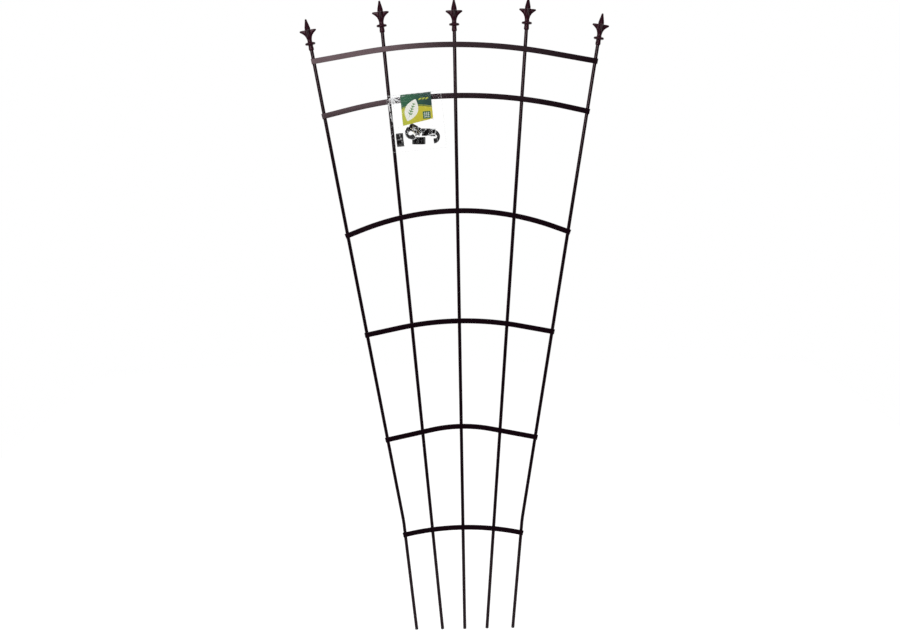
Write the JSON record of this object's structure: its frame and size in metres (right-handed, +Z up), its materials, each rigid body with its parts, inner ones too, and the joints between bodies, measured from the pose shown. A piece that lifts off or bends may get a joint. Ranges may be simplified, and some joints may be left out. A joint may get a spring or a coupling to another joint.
{
  "type": "garden trellis",
  "caption": "Fan-shaped steel garden trellis with round uprights, arched flat rails, fleur spear finials and a hung bag of wall fixings.",
  "frame": {"origin": "centre of the middle upright's foot, on the ground line", "axes": "+Z up along the middle upright, +X to the right seen from the front, front of the rails towards -Y"},
  "size_m": [0.68, 0.0616, 1.5],
  "materials": {
    "tube_coat": "satin dark brown powder coat on steel tube",
    "rail_coat": "satin dark brown powder coat on flat bar",
    "finial_coat": "satin dark brown powder coat over a casting",
    "foot_plastic": "matt black moulded plug",
    "clear_film": "clear polypropylene film",
    "printed_card": "coated card, printed dark green over lime green with plain leaf shapes",
    "clip_plastic": "black moulded plastic",
    "screw_steel": "zinc-plated steel",
    "plug_plastic": "tan moulded plastic"
  },
  "bodies": {
    "trellis_frame": {"rail_1": "rail_coat", "rail_2": "rail_coat", "rail_3": "rail_coat", "rail_4": "rail_coat", "rail_5": "rail_coat", "rail_6": "rail_coat", "upright_1": "tube_coat", "upright_2": "tube_coat", "upright_3": "tube_coat", "upright_4": "tube_coat", "upright_5": "tube_coat", "foot_plug_1": "foot_plastic", "foot_plug_2": "foot_plastic", "foot_plug_3": "foot_plastic", "foot_plug_4": "foot_plastic", "foot_plug_5": "foot_plastic", "finial_1": "finial_coat", "finial_2": "finial_coat", "finial_3": "finial_coat", "finial_4": "finial_coat", "finial_5": "finial_coat", "tie_band": "clear_film"},
    "fixings_pack": {"clear_bag": "clear_film", "header_card": "printed_card", "wall_clip_1": "clip_plastic", "wall_clip_2": "clip_plastic", "wall_clip_3": "clip_plastic", "wall_clip_4": "clip_plastic", "wall_clip_5": "clip_plastic", "wall_clip_6": "clip_plastic", "screw_1": "screw_steel", "screw_2": "screw_steel", "screw_3": "screw_steel", "screw_4": "screw_steel", "screw_5": "screw_steel", "screw_6": "screw_steel", "wall_plug_1": "plug_plastic", "wall_plug_2": "plug_plastic", "wall_plug_3": "plug_plastic", "wall_plug_4": "plug_plastic", "wall_plug_5": "plug_plastic", "wall_plug_6": "plug_plastic"}
  },
  "joints": [
    {"name": "fixings_pack_swing", "type": "hinge", "parent": "trellis_frame", "child": "fixings_pack", "pos_m": [-0.09282, -0.0087, 1.29741], "axis": [-0.9963, 0, -0.0858], "range_deg": [0, 75]}
  ]
}
